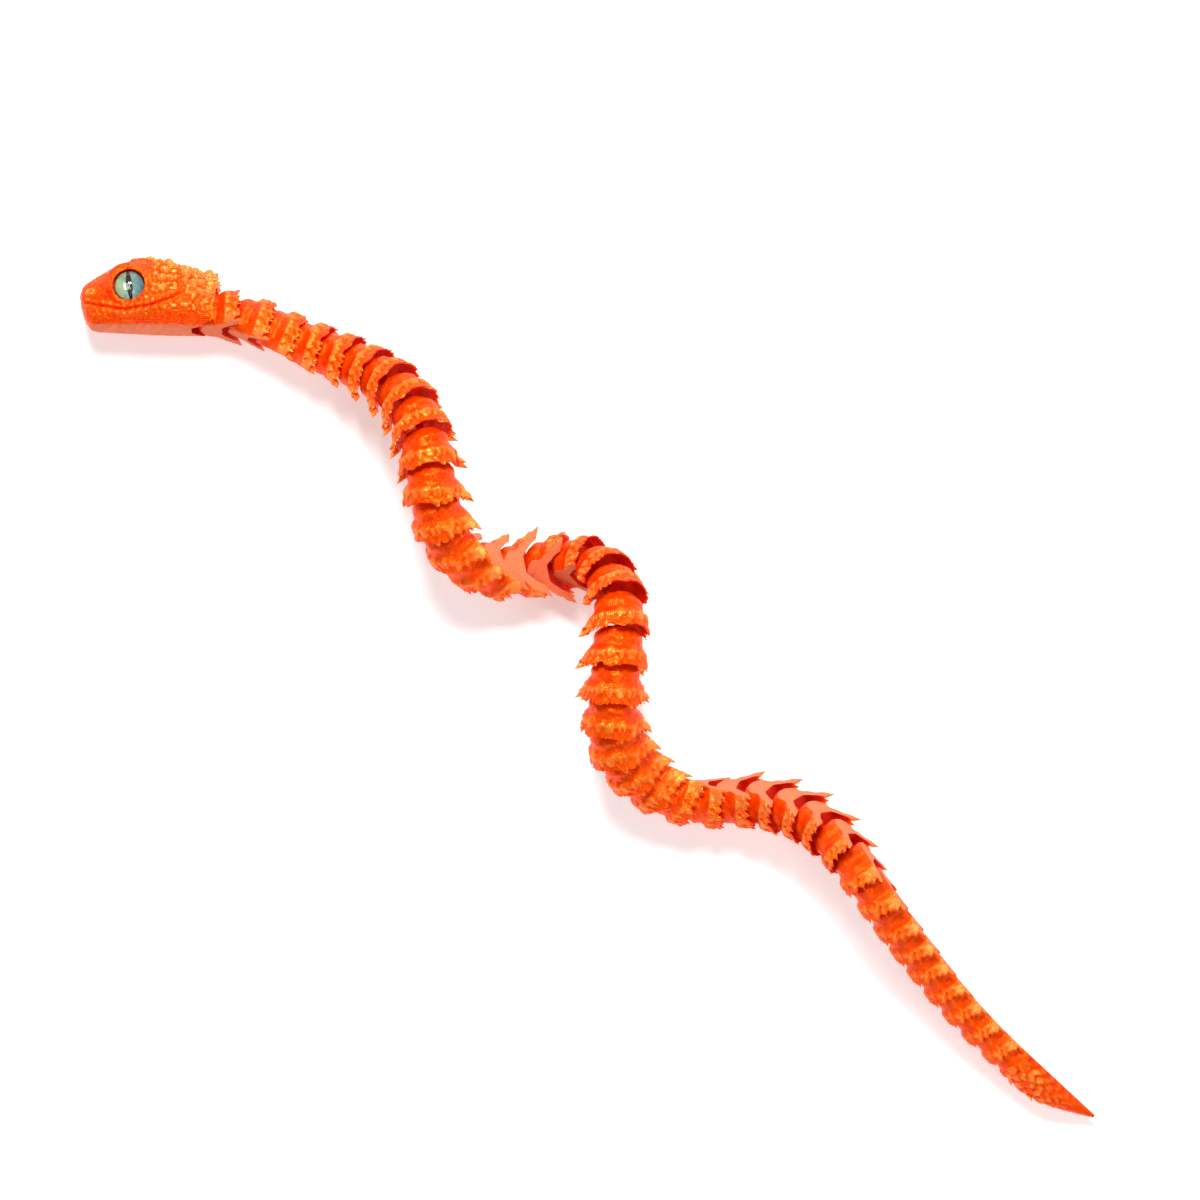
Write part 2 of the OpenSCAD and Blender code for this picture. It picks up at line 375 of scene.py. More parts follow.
def spike(name, start, end, radius):
    """A barb from start to end, with its foot inside the wall and a slightly blunt point."""
    start, end = Vector(start), Vector(end)
    way = end - start
    nothing_selected()
    bpy.ops.mesh.primitive_cone_add(vertices=12, radius1=radius, radius2=0.14,
                                    depth=way.length, location=(start + end) / 2,
                                    rotation=way.to_track_quat("Z", "Y").to_euler())
    return named(name)


# The body segment, at full size

# radius of the band at each x
PROFILE = [(-1.8, 3.9), (-1.1, 4.75), (-0.4, 5.35), (0.2, 5.85), (0.8, 6.15), (1.4, 6.22),
           (2.0, 6.15), (2.7, 6.15), (3.3, 6.4), (3.9, 6.9), (4.4, 7.15), (5.4, 7.25),
           (6.2, 7.3), (7.0, 7.5), (7.6, 7.7), (8.2, 7.85)]
BAND_START, BAND_STEP, BAND_RINGS, BAND_SIDES = -1.8, 0.125, 81, 180
# degrees for each lobe, the start of the rim row, and the rear edge of the front row
LOBE = 19.0
RIM_START = 6.3
ROW_EDGE = 5.5
# how far the lobes of each row reach back, and how high row and lobes stand
RIM_REACH, ROW_REACH = 1.3, 1.2
ROW_HIGH, ROW_LOBE_HIGH, RIM_LOBE_HIGH = 0.28, 0.2, 0.34
# how far the belly corner stands out at each x
FIN_X = [0.8, 2.2, 4.7, 5.9, 6.6, 9.9]
FIN_OUT = [0.0, 0.0, 0.05, 0.7, 1.4, 3.0]
# name, foot, point and radius of each barb of a belly corner
BARBS = [("barb", (6.9, 5.6, -4.1), (9.9, 9.6, -4.4), 1.5),
         ("barb_web", (6.3, 4.9, -4.3), (8.9, 8.2, -4.3), 1.35),
         ("upper_barb", (6.4, 6.7, -2.4), (9.3, 8.75, -2.35), 1.15)]
# degrees from the middle of the back to the small pointed scales of each side
SIDE_SCALES = (62, 82, 101)
SEGMENT_VOXEL, SEGMENT_TRIANGLES = 0.19, 17000


def band_shell(name):
    """The smooth round band, before its lobes are pulled out of it."""
    xs, rs = (list(column) for column in zip(*PROFILE))
    stations = []
    for k in range(BAND_RINGS):
        x = BAND_START + BAND_STEP * k
        r = float(curve(xs, rs, x))
        stations.append((x, r, r, -r))
    return shell(name, stations, BAND_SIDES)


def lobe_wave(angle, offset, uneven):
    """Rounded lobes over the back and pointed ones at the sides: reach, and height across."""
    turn = (angle - 90) / LOBE + offset + uneven * noise.noise(Vector((angle / 30, offset, 0)))
    number = math.floor(turn + 0.5)
    across = abs(math.cos(math.pi * turn))
    size = 1 + 0.45 * noise.noise(Vector((number * 1.7, offset * 9 + 0.5, 0.3)))
    side = eased((abs(angle - 90) - 50) / 30)
    peak = 1 - 2 * abs(turn - number)
    reach = (1 - side) * (0.6 * across + 0.75 * peak - 0.7) + side * (1.6 * peak ** 1.2 - 0.75)
    return size * reach, size * across


def lobed(p):
    """Two overlapping rows of lobes round the band, with grooves between the lobes."""
    angle = math.degrees(math.atan2(p.z, p.y))
    if angle < -90:
        angle += 360
    r = math.hypot(p.y, p.z)
    back = max(0.0, math.sin(math.radians(angle)))
    rim_reach, rim_across = lobe_wave(angle, 0.0, 0.5)
    # just over the belly the rim is cut short, where the next piece swings under it
    under = eased((-0.2 - p.z / r) / 0.25)
    rim_reach -= under * max(0.0, rim_reach + 0.2)
    row_reach, row_across = lobe_wave(angle, 0.5, 0.8)
    front_reach, _ = lobe_wave(90 + 0.8 * (angle - 90), 0.2, 1.0)
    rim = eased((p.x - RIM_START) / 1.9)
    x = p.x + rim * (RIM_REACH * rim_reach + 0.3 * back)
    # the front row ends in a step, and the skin of the rim row starts under it
    edge = ROW_EDGE + ROW_REACH * row_reach + 0.2 * back
    # at the sides the front row stays low and short, so that the swing has room
    flank = eased((abs(angle - 90) - 38) / 24)
    start = 3.35 + 0.8 * front_reach * (1 - flank) + 0.7 * flank
    row = eased((p.x - start) / 0.8) * (1 - eased((p.x - edge) / 0.35))
    row *= 1 - 0.6 * flank * (1 - eased((p.x - 4.3) / 0.7))
    swell = eased((p.x - edge - 0.4) / 2.2)
    r_new = (r + row * (ROW_HIGH + ROW_LOBE_HIGH * row_across)
             + swell * (RIM_LOBE_HIGH * rim_across - 0.05))
    y, z = p.y * r_new / r, p.z * r_new / r
    low = eased((0.5 - z) / 4.5)
    y += math.copysign(float(np.interp(x, FIN_X, FIN_OUT)), y) * low ** 1.5
    return Vector((x, y, z))


def side_barbs(side):
    """The large barb at the belly corner and the smaller ones above it."""
    return [spike(name, (x, side * y, z), (x2, side * y2, z2), radius)
            for name, (x, y, z), (x2, y2, z2), radius in BARBS]


def body_segment():
    """The one segment that all 43 are copies of."""
    plain = band_shell("segment_form")
    smooth_skin = skin_of(plain)
    moved_points(plain, lobed)
    parts = [plain]
    pointed = one_scale("rim_scale", 2.9, 1.9, 0.55, point=0.2)
    draw = random.Random(7)
    for side in (-1, 1):
        for off in SIDE_SCALES:
            grow = 1 + 0.15 * draw.uniform(-1, 1)
            parts.append(copy_of(pointed, on_ring(7.5, 7.6, 90 + side * off, 14, grow)))
            parts.append(copy_of(pointed, on_ring(5.4, 7.25, 90 + side * (off - 10), 12,
                                                  0.7 * grow)))
    bpy.data.objects.remove(pointed)
    for side in (-1, 1):
        parts += side_barbs(side)
    piece = joined("segment_master", parts)
    fused(piece, SEGMENT_VOXEL)
    softened(piece)
    grainy(piece, size=1.5, height=0.16)
    grainy(piece, size=0.55, height=0.09)
    thinned(piece, SEGMENT_TRIANGLES)
    cut_flat(piece, -BELLY)
    hollow_front(piece)
    hollow_back(piece, PITCH)
    add_ball(piece, PITCH)
    piece = without_crumbs(piece)
    finish_print(piece, smooth_skin, BELLY)
    return piece


# The head

# x, top, bottom and half width at each station
HEAD = [(-32.8, 4.9, 3, 1.1), (-32.4, 6.1, 1.1, 2.9), (-31.3, 7.3, -2.2, 4.6),
        (-29.5, 8.6, -4.6, 5.7), (-26.7, 10.4, -5.2, 6.6), (-23.5, 12.3, -5.2, 7.4),
        (-19.9, 13.6, -5.2, 8.4), (-15.8, 14, -5.2, 9.3), (-11.6, 13.5, -5.2, 9.5),
        (-7.3, 12.2, -5.2, 9.1), (-3.2, 10.8, -5.2, 8.4), (0, 9.5, -5.2, 8.1),
        (1.5, 9.1, -5.2, 8)]
HEAD_START, HEAD_LENGTH, HEAD_RINGS, HEAD_SIDES = -32.8, 34.3, 84, 128
# the line of the mouth
MOUTH_X = [-31.2, -27.8, -20.6, -14.3, -9.2, -5.6]
MOUTH_Z = [1.4, 0.3, -0.9, 0.0, 1.9, 4.0]
MOUTH_START, MOUTH_END = -31.6, -5.0
GROOVE_DEEP, GROOVE_WIDE = 0.38, 0.24
LIP_HIGH, LIP_AWAY, LIP_WIDE = 0.45, 0.8, 0.4
LIP_BEAD = 1.9
# the axis that bumps are set from, and the mean radius of the head about it
HEAD_AXIS_Z = 3.0
HEAD_MEAN_R = 9.3
# the bumps of the crown and cheeks: how many are tried, and where they may stand
BUMP_TRIES, BUMP_START, BUMP_END = 3600, -19.5, 0.8
BUMP_FREE_OF_EYE = 6.4
CHEEK_BUMPS = 44
# drop below the mouth and size of each row of bumps on the lower jaw
JAW_ROWS = ((1.7, 1.35), (3.0, 1.2))
JAW_START, JAW_END = -29.5, -8
BROW_R, BROW_THICK, BROW_OUT = 4.75, 0.82, 1.3
HEAD_VOXEL, HEAD_TRIANGLES = 0.21, 80000


def head_form(name):
    """The smooth head, with a full cheek and a flat chin."""
    xs, tops, bottoms, widths = (list(column) for column in zip(*HEAD))

    def at(x):
        return [float(curve(xs, values, x)) for values in (widths, tops, bottoms)]
    # the rings stand closer together at the snout
    places = [HEAD_START + HEAD_LENGTH * (k / HEAD_RINGS) ** 1.25
              for k in range(HEAD_RINGS + 1)]
    piece = shell(name, [(x, *at(x)) for x in places], HEAD_SIDES)

    def egg(p):
        w, top, bottom = at(p.x)
        c = p.y / w
        s = (p.z - (top + bottom) / 2) / ((top - bottom) / 2)
        middle = bottom + 0.42 * (top - bottom)
        y = math.copysign(w * abs(c) ** 0.8, c)
        return Vector((p.x, y, middle + s * (top - middle if s > 0 else middle - bottom)))
    moved_points(piece, egg)
    return piece


def collar(p):
    """Draws the rear edge of the head back to a hood over the neck, with low sides."""
    if p.x < -4:
        return p
    rear = eased((p.x + 4) / 5.5)
    angle = math.degrees(math.atan2(p.z, p.y))
    lobe = math.cos(2 * math.pi * (angle - 90) / 15)
    if p.z < -3.4:
        reach = -2.3
    else:
        reach = 0.25 + 0.5 * lobe + 1.15 * max(0, p.z / 9.7)
    return Vector((p.x + rear * reach, p.y, p.z))


def bump_place(skin, x, angle, size, tilt=0.0, sink=0.0, turn=0.0):
    """The place of a bump on the skin of the head, or None."""
    place = on_skin(skin, x, HEAD_AXIS_Z, angle)
    if place is None:
        return None
    return (place @ Matrix.Translation((0, 0, -sink)) @ Matrix.Rotation(turn, 4, "Z")
            @ Matrix.Rotation(math.radians(-tilt), 4, "Y") @ Matrix.Diagonal((*size, 1)))


def mouth_z(x):
    return float(np.interp(x, MOUTH_X, MOUTH_Z))


def off_mouth(p):
    return p.x > -6.5 or abs(p.z - mouth_z(p.x)) > 1.15


def crown_bumps(skin, draw, round_one, pointed):
    """Small round bumps on the temples that grow to pointed scales on the rear crest."""
    made = []
    taken = []
    for _ in range(BUMP_TRIES):
        x = draw.uniform(BUMP_START, BUMP_END)
        rear = (x + 17.5) / 18
        a = draw.uniform(14 - 10 * rear, 166 + 10 * rear)
        size = (1.45 + 1.2 * max(0, rear)) * draw.uniform(0.7, 1.3)
        if a < 22 or a > 158:
            size *= 0.75
        over = HEAD_MEAN_R * math.radians(90 - abs(a - 90)) - 0.2
        if math.hypot(x - EYE_X, over - EYE_Z) < BUMP_FREE_OF_EYE:
            continue
        if any(math.hypot(x - x2, 0.16 * (a - a2)) < 0.49 * (size + s2)
               for x2, a2, s2 in taken):
            continue
        taken.append((x, a, size))
        crest = min(1, max(0, (rear - 0.35) * 2))
        tool = pointed if draw.random() < crest else round_one
        tall = 1.15 + 0.5 * max(0, rear)
        m = bump_place(skin, x, a, (1.25 * size, size, tall * size), 8 + 14 * rear, 0.1,
                       draw.uniform(-0.4, 0.4))
        if m is not None and off_mouth(m.translation):
            made.append(copy_of(tool, m))
    return made


def cheek_bumps(skin, draw, round_one):
    """Sparse round bumps on the rear cheeks."""
    made = []
    for left in (0, 1):
        for _ in range(CHEEK_BUMPS):
            x = draw.uniform(-15, 0.5)
            a = draw.uniform(-24, 14)
            size = draw.uniform(1.0, 1.7)
            m = bump_place(skin, x, 180 - a if left else a, (size, size, 1.4 * size), 0, 0.12)
            if m is not None and off_mouth(m.translation):
                made.append(copy_of(round_one, m))
    return made


def jaw_bumps(skin, round_one):
    """Rows of bumps on the lower jaw, under the mouth."""
    made = []
    xs, _, _, widths = (list(column) for column in zip(*HEAD))
    for left in (0, 1):
        for row, (drop, size) in enumerate(JAW_ROWS):
            x = JAW_START + 0.7 * row
            while x < JAW_END:
                z = mouth_z(x) - drop
                a = math.degrees(math.atan2(z - HEAD_AXIS_Z, float(np.interp(x, xs, widths))))
                m = bump_place(skin, x, 180 - a if left else a,
                               (1.2 * size, size, 0.7 * size), 0, 0.2)
                if m is not None and z > -HEAD_BELLY:
                    made.append(copy_of(round_one, m))
                x += 1.25 * size
    return made


def collar_scales(skin, draw, pointed):
    """The pointed scales at the rear edge of the collar."""
    made = []
    for k in range(-6, 7):
        angle = 90 + 15 * k + draw.uniform(-3, 3)
        m = bump_place(skin, draw.uniform(0.4, 1.1), angle, (3.4, 2.3, 1.6), 15, 0.1)
        if m is not None:
            made.append(copy_of(pointed, m))
    return made


def head_bumps(skin):
    """All the bumps of the head. Their random sizes are drawn in this order."""
    round_one = ball("round_bump", 0.5, 0, rings=6)
    pointed = one_scale("pointed_scale", 1.0, 1.0, 0.5, point=0.3)
    draw = random.Random(11)
    made = crown_bumps(skin, draw, round_one, pointed)
    made += cheek_bumps(skin, draw, round_one)
    made += jaw_bumps(skin, round_one)
    made += collar_scales(skin, draw, pointed)
    for tool in (round_one, pointed):
        bpy.data.objects.remove(tool)
    return made


def eye_turn(side, out):
    """Takes a tool's x, y and z to the head's outward side, its length and its height."""
    return Matrix(((0, 1, 0, EYE_X), (side, 0, 0, out), (0, 0, 1, EYE_Z), (0, 0, 0, 1)))


def brow(side):
    """The thick smooth ring round the eye, on a mound that grows out of the cheek."""
    mound = rod("brow_mound", -3.2, BROW_OUT, 6.4, 5.25, sides=64)
    nothing_selected()
    bpy.ops.mesh.primitive_torus_add(major_segments=64, minor_segments=20,
                                     major_radius=BROW_R, minor_radius=BROW_THICK,
                                     rotation=(0, math.pi / 2, 0),
                                     location=(BROW_OUT, 0, 0))
    ring = named("brow_ring")
    ridge = ball("brow_ridge", 1.0, 0, rings=16)
    # a thicker brow over the front of the eye
    ridge.data.transform(Matrix.Translation((0.2, -2.6, 4.6)) @ Matrix.Rotation(0.5, 4, "X")
                         @ Matrix.Diagonal((1.7, 3.3, 1.2, 1)))
    piece = joined("brow", [mound, ring, ridge])
    turn = eye_turn(side, side * EYE_FLOOR)
    piece.data.transform(turn)
    if turn.determinant() < 0:
        piece.data.flip_normals()
    return piece


def face_carved(p, n):
    """The mouth groove between two beaded lips."""
    if not (MOUTH_START < p.x < MOUTH_END) or abs(p.y) < 1.2:
        return p
    away = p.z - mouth_z(p.x)
    ends = eased((p.x - MOUTH_START) / 1.2) * (1 - eased((p.x + 7.5) / 2.4))
    groove = -GROOVE_DEEP * math.exp(-(away / GROOVE_WIDE) ** 2)
    bead = 0.6 + 0.4 * math.cos(2 * math.pi * p.x / LIP_BEAD)
    lips = LIP_HIGH * bead * math.exp(-((abs(away) - LIP_AWAY) / LIP_WIDE) ** 2)
    return p + n * ends * (groove + lips)


def head():
    """The whole head: form, bumps, brows, mouth, nostrils, eye sockets and the first ball."""
    form = head_form("head_form")
    bare = joined("bare_head", [copy_of(form, Matrix.Identity(4)), brow(-1), brow(1)])
    fused(bare, 0.35)
    smooth_skin = skin_of(bare)
    bpy.data.objects.remove(bare)
    moved_points(form, collar)
    skin = skin_of(form)
    parts = [form] + head_bumps(skin)
    for side in (-1, 1):
        parts.append(brow(side))
        nostril = ball("nostril_lump", 1.0, 0, rings=12)
        nostril.data.transform(Matrix.Translation((-29.3, side * 4.9, 3.9))
                               @ Matrix.Diagonal((1.9, 1.2, 1.3, 1)))
        parts.append(nostril)
    piece = joined("head_master", parts)
    fused(piece, HEAD_VOXEL)
    softened(piece)
    pushed(piece, face_carved)
    grainy(piece, size=0.8, height=0.18)
    thinned(piece, HEAD_TRIANGLES)
    cut_flat(piece, -HEAD_BELLY)
    g = girth(1)
    hollow_back(piece, 0, g)
    for side in (-1, 1):
        pit = ball("nostril", 0.55, -29.7, side * 6.1, 4.1, rings=12)
        cut(piece, pit)
        socket = rod("eye_socket", EYE_FLOOR, 16, EYE_R + EYE_GAP, EYE_R + EYE_GAP, sides=72)
        socket.data.transform(eye_turn(side, 0))
        if side > 0:
            socket.data.flip_normals()
        cut(piece, socket)
    add_ball(piece, 0, g)
    piece = without_crumbs(piece)
    finish_print(piece, smooth_skin, HEAD_BELLY)
    return piece


# The eyes

# the slit pupil: its half height, its half width, and how far it leans over its height
SLIT_HALF, SLIT_WIDE, SLIT_LEAN = 3.85, 0.62, 0.17


def eye_marks(piece):
    """Notes each point's place from the middle of the eye, for the iris."""
    mesh = piece.data
    marks = mesh.attributes.new("eye_mm", "FLOAT_VECTOR", "POINT")
    for i, point in enumerate(mesh.vertices):
        marks.data[i].vector = (EYE_X - point.co.x, point.co.z - EYE_Z, 0)


def iris(side):
    """The printed disc on the floor of an eye socket."""
    nothing_selected()
    bpy.ops.mesh.primitive_cylinder_add(
        vertices=72, radius=EYE_R, depth=IRIS_T, rotation=(math.pi / 2, 0, 0),
        location=(EYE_X, side * (EYE_FLOOR + IRIS_T / 2), EYE_Z))
    piece = named("iris_disc")
    finish_modifier(piece, "BEVEL", width=0.08, segments=2, limit_method="ANGLE")
    eye_marks(piece)
    smooth(piece, 15)
    return piece


def eye_glass(side):
    """The domed glass over the disc, flat at its back."""
    radius = (EYE_R ** 2 + EYE_DOME ** 2) / (2 * EYE_DOME)
    back = EYE_FLOOR + IRIS_T
    nothing_selected()
    bpy.ops.mesh.primitive_uv_sphere_add(
        segments=72, ring_count=48, radius=radius, rotation=(math.pi / 2, 0, 0),
        location=(EYE_X, side * (back + EYE_DOME - radius), EYE_Z))
    piece = named("glass_dome")
    sliced(piece, (0, side * (back + 0.01), 0), (0, side, 0))
    smooth(piece, 50)
    return piece


# The tail tip, at its own size

# radius at each x
TAIL = [(0.0, 4.35), (0.6, 4.3), (1.5, 4.42), (2.9, 4.85), (6.6, 5.11), (10.2, 4.97),
        (13.8, 4.48), (17.4, 3.85), (21, 3.01), (24.6, 2.03), (27.9, 1.05), (29.6, 0.5)]
TAIL_X, TAIL_R = (list(column) for column in zip(*TAIL))
TAIL_START, TAIL_LENGTH, TAIL_RINGS, TAIL_SIDES = -1.26, 31.0, 90, 96
TAIL_SCALES_START, TAIL_SCALES_END = 4.4, 23
TAIL_VOXEL, TAIL_TRIANGLES = 0.15, 26000


def tail_ring(x, low):
    """The radius of the tail at x and the height of its middle."""
    r = float(curve(TAIL_X, TAIL_R, x))
    return r, -low + min(low, 0.75 * r)


def tail_form(name, g):
    """A round front for the socket, then a cone whose axis sinks towards the belly."""
    stations = []
    for k in range(TAIL_RINGS + 1):
        x = TAIL_START + TAIL_LENGTH * k / TAIL_RINGS
        if x < 0:
            r = min(math.sqrt((DOME_R * g) ** 2 - x ** 2), 3.9 * g + (x - TAIL_START))
            middle = 0
        else:
            r, middle = tail_ring(x, BELLY * g)
        stations.append((x, r, middle + r, middle - r))
    return shell(name, stations, TAIL_SIDES)


def tail_scales(skin, low):
    """Rows of scales over the back and sides that grow smaller towards the end."""
    scale = one_scale("tail_scale", 1.0, 1.0, 0.5, point=0.3)
    draw = random.Random(5)
    made = []
    x = TAIL_SCALES_START
    row = 0
    while x < TAIL_SCALES_END:
        r, middle = tail_ring(x, low)
        size = 0.42 * r
        step = math.degrees(size * 0.95 / r)
        flat = 0.9 * (1 - 0.55 * eased((x - 13) / 9))
        angle = -12 + (row % 2) * step / 2
        while angle < 192:
            place = on_skin(skin, x, middle, angle)
            if place is not None and place.translation.z > -low + 0.5:
                grow = size * (1 + 0.1 * draw.uniform(-1, 1))
                made.append(copy_of(scale, place @ Matrix.Translation((0, 0, -0.12))
                                    @ Matrix.Rotation(math.radians(-12), 4, "Y")
                                    @ Matrix.Diagonal((1.35 * grow, grow, flat, 1))))
            angle += step
        x += 0.95 * size * 1.05
        row += 1
    bpy.data.objects.remove(scale)
    return made


def tail_tip(g):
    """The whole tail tip: a cone with low waves and scales, and the last socket."""
    low = BELLY * g
    plain = tail_form("tail_form", g)
    smooth_skin = skin_of(plain)

    def ridged(p):
        fade = eased((27 - p.x) / 10) * eased((p.x - 2.4) / 1.2)
        middle = -low + min(low, 3.2)
        angle = math.degrees(math.atan2(p.z - middle, p.y))
        wave = math.cos(2 * math.pi * (p.x / 3.1 + 0.35 * math.cos(math.radians(angle * 6))))
        r = math.hypot(p.y, p.z - middle)
        grow = 1 + 0.2 * fade * wave / max(r, 1)
        return Vector((p.x, p.y * grow, middle + (p.z - middle) * grow))
    moved_points(plain, ridged)
    piece = joined("tail_master", [plain] + tail_scales(skin_of(plain), low))
    fused(piece, TAIL_VOXEL)
    softened(piece)
    grainy(piece, size=0.7, height=0.08)
    thinned(piece, TAIL_TRIANGLES)
    cut_flat(piece, -low)
    hollow_front(piece, g)
    piece = without_crumbs(piece)
    finish_print(piece, smooth_skin, low)
    return piece


# What the print leaves on each piece, for its material

def finish_print(piece, smooth_skin, belly):
    """Notes each point's own place, its height over the smooth form and its print bed."""
    mesh = piece.data
    count = len(mesh.vertices)
    place = np.empty(3 * count, np.float32)
    mesh.vertices.foreach_get("co", place)
    mesh.attributes.new("print_mm", "FLOAT_VECTOR", "POINT").data.foreach_set("vector", place)
    # the height over the smooth form later sets the painted shade of the hollows and the
    # painted highlight of the ridges
    relief = np.zeros(count, np.float32)
    bed = np.zeros(count, np.float32)
    for i, point in enumerate(mesh.vertices):
        near, normal, _, far = smooth_skin.find_nearest(point.co)
        if near is not None:
            relief[i] = far if (point.co - near).dot(normal) > 0 else -far
        bed[i] = 1 if point.co.z < -belly + BED_CLOSE else 0
    mesh.attributes.new("relief_mm", "FLOAT", "POINT").data.foreach_set("value", relief)
    mesh.attributes.new("bed", "FLOAT", "POINT").data.foreach_set("value", bed)
    smooth(piece)


# The place of each piece, from the joints

# the plain middle of a segment, which takes up what its pitch is longer or shorter
STRETCH_FROM, STRETCH_TO = 2.0, 4.2


def axes(origin, x, z):
    """The place with the given direction of x, and z as near as can be to its own."""
    x = x.normalized()
    z = (z - x * z.dot(x)).normalized()
    return frame_matrix(x, z.cross(x), z, origin)


def piece_places():
    """Place 0 is the head, 1 to 43 are the segments, and 44 is the tail tip."""
    at = [Vector(j["pos_m"]) for j in frame["joints"]]
    turn = [Vector(j["axis"]) for j in frame["joints"]]
    mount = frame["record"]["mounts"][0]
    back = -Vector(mount["axis"])
    chin = Vector(mount["pos_m"]) + back * HEAD_BELLY * MM
    places = [axes(at[0], at[0] - chin, back)]
    for i, here in enumerate(at):
        back = turn[i] if turn[i].dot(back) > 0 else -turn[i]
        ahead = at[i + 1] if i + 1 < len(at) else Vector(TAIL_END) * MM
        places.append(axes(here, ahead - here, back))
    return places, at


def girth(i):
    """The share of full girth of piece i along the chain."""
    return float(np.interp(i / (SEGMENTS + 1), GIRTH_PLACES, GIRTH_SHARES))


def set_in_place(piece, place, share, stretch=0.0):
    """Sizes a piece by its girth, stretches its middle, and sets it in the row frame."""
    mesh = piece.data
    co = np.empty(3 * len(mesh.vertices), np.float32)
    mesh.vertices.foreach_get("co", co)
    co = co.reshape(-1, 3)
    x = co[:, 0].copy()
    co *= share
    co[:, 0] += stretch * np.clip((x - STRETCH_FROM) / (STRETCH_TO - STRETCH_FROM), 0, 1)
    m = np.array(place)
    co = (co * MM) @ m[:3, :3].T + m[:3, 3]
    co = np.clip(co, BOX_LOW, BOX_HIGH)
    mesh.vertices.foreach_set("co", co.astype(np.float32).ravel())
    mesh.update()


# Materials

def linear(code):
    """The linear colour of an sRGB hex code."""
    values = [int(code[i:i + 2], 16) / 255 for i in (1, 3, 5)]
    return [v / 12.92 if v <= 0.04045 else ((v + 0.055) / 1.055) ** 2.4 for v in values] + [1]


def new_material(name):
    """An empty node material."""
    material = bpy.data.materials.new(name)
    material.use_nodes = True
    material.node_tree.nodes.clear()
    return material, material.node_tree


def node(tree, kind, settings=None, links=None, values=None):
    """Adds a node with its settings, its unlinked values and its links."""
    made = tree.nodes.new(kind)
    for key, value in (settings or {}).items():
        setattr(made, key, value)
    for key, value in (values or {}).items():
        made.inputs[key].default_value = value
    for key, socket in (links or {}).items():
        tree.links.new(socket, made.inputs[key])
    return made


def ramp(tree, fac, stops):
    made = node(tree, "ShaderNodeValToRGB", links={"Fac": fac})
    points = made.color_ramp.elements
    while len(points) < len(stops):
        points.new(0.5)
    for point, (place, code) in zip(points, stops):
        point.position = place
        point.color = linear(code)
    return made.outputs["Color"]


def noted(tree, name, output="Fac"):
    """What finish_print or eye_marks noted on each point."""
    return node(tree, "ShaderNodeAttribute", {"attribute_name": name}).outputs[output]


def grain(tree, where, scale, detail, roughness):
    return node(tree, "ShaderNodeTexNoise", links={"Vector": where},
                values={"Scale": scale, "Detail": detail,
                        "Roughness": roughness}).outputs["Fac"]


def mapped(tree, value, **ends):
    """Takes one range to another; an end that is not given is 0 or 1."""
    values = {key.replace("_", " ").title(): end for key, end in ends.items()}
    return node(tree, "ShaderNodeMapRange", links={"Value": value},
                values=values).outputs["Result"]


def reckoned(tree, operation, links, values=None):
    return node(tree, "ShaderNodeMath", {"operation": operation}, links,
                values).outputs["Value"]


def sum_of(tree, a, b, factor):
    """a times the factor, plus b."""
    return reckoned(tree, "MULTIPLY_ADD", {0: a, 2: b}, {1: factor})


def blended(tree, links, values=None):
    """Colour 6 where the factor is 0 and colour 7 where it is 1."""
    return node(tree, "ShaderNodeMix", {"data_type": "RGBA"}, links, values).outputs[2]


def surface(tree, links=None, values=None):
    """Adds the shader of the whole surface."""
    shader = node(tree, "ShaderNodeBsdfPrincipled", None, links, values)
    node(tree, "ShaderNodeOutputMaterial", links={"Surface": shader.outputs["BSDF"]})


def silk_plastic():
    """Silk PLA, printed in thin layers: a pearly plastic with painted highlight, pale orange,
    on the raised parts and painted shade, deep red, in the hollows, with a flat matt face
    where it lay on the print bed."""
    material, tree = new_material("silk_pla_printed")
    own = noted(tree, "print_mm", "Vector")
    relief = noted(tree, "relief_mm")
    bed = noted(tree, "bed")
    where = node(tree, "ShaderNodeTexCoord").outputs["Object"]
    # cloudy patches of about 3 mm, where the silk pigment lies differently
    cloud = grain(tree, where, 330.0, 3.0, 0.6)
    # layers of 0.2 mm are drawn 0.45 mm apart, so that they show
    layers = node(tree, "ShaderNodeTexWave", {"bands_direction": "Z"}, {"Vector": own},
                  {"Scale": 0.314 / 0.45, "Distortion": 1.2, "Detail": 2.0,
                   "Detail Scale": 1.5}).outputs["Fac"]
    # specks of about 0.6 mm
    speck = grain(tree, own, 1.7, 4.0, 0.7)
    # painted shade, deep red, in the hollows, to painted highlight, pale orange, on the
    # ridges, uneven by clouds and specks
    shade_to_highlight = mapped(tree, relief, from_min=-0.35, from_max=1.05)
    mixed = sum_of(tree, speck, sum_of(tree, cloud, shade_to_highlight, 0.35), 0.3)
    paint_with_painted_light = ramp(tree, mixed, [(0.25, "#DC1800"), (0.44, "#F63400"), (0.6, "#FF4E00"),
                               (0.8, "#FF660C"), (1.0, "#FF8C3C")])
    # the paler, duller face that lay on the print bed
    bed_cloud = ramp(tree, speck, [(0.3, "#E2683F"), (0.7, "#EE8058")])
    # the colour carries painted shade in the hollows and painted highlight on the ridges; the
    # bed face has its own colour
    colour = blended(tree, {"Factor": bed, 6: paint_with_painted_light, 7: bed_cloud})
    rough = node(tree, "ShaderNodeMix",
                 links={"Factor": bed, 2: mapped(tree, cloud, to_min=0.2, to_max=0.38)},
                 values={3: 0.75}).outputs[0]
    # the fine relief of layers and specks, 0.12 mm high
    bump = node(tree, "ShaderNodeBump", links={"Height": sum_of(tree, speck, layers, 1.4)},
                values={"Strength": 0.5, "Distance": 0.12 * MM}).outputs["Normal"]
    # the metal-like sheen of silk pigment, which the bed face lacks
    pearl = mapped(tree, bed, to_min=0.42, to_max=0.0)
    surface(tree, {"Base Color": colour, "Roughness": rough, "Normal": bump,
                   "Metallic": pearl},
            {"IOR": 1.46, "Specular IOR Level": 0.5, "Specular Tint": linear("#FFB47C")})
    return material


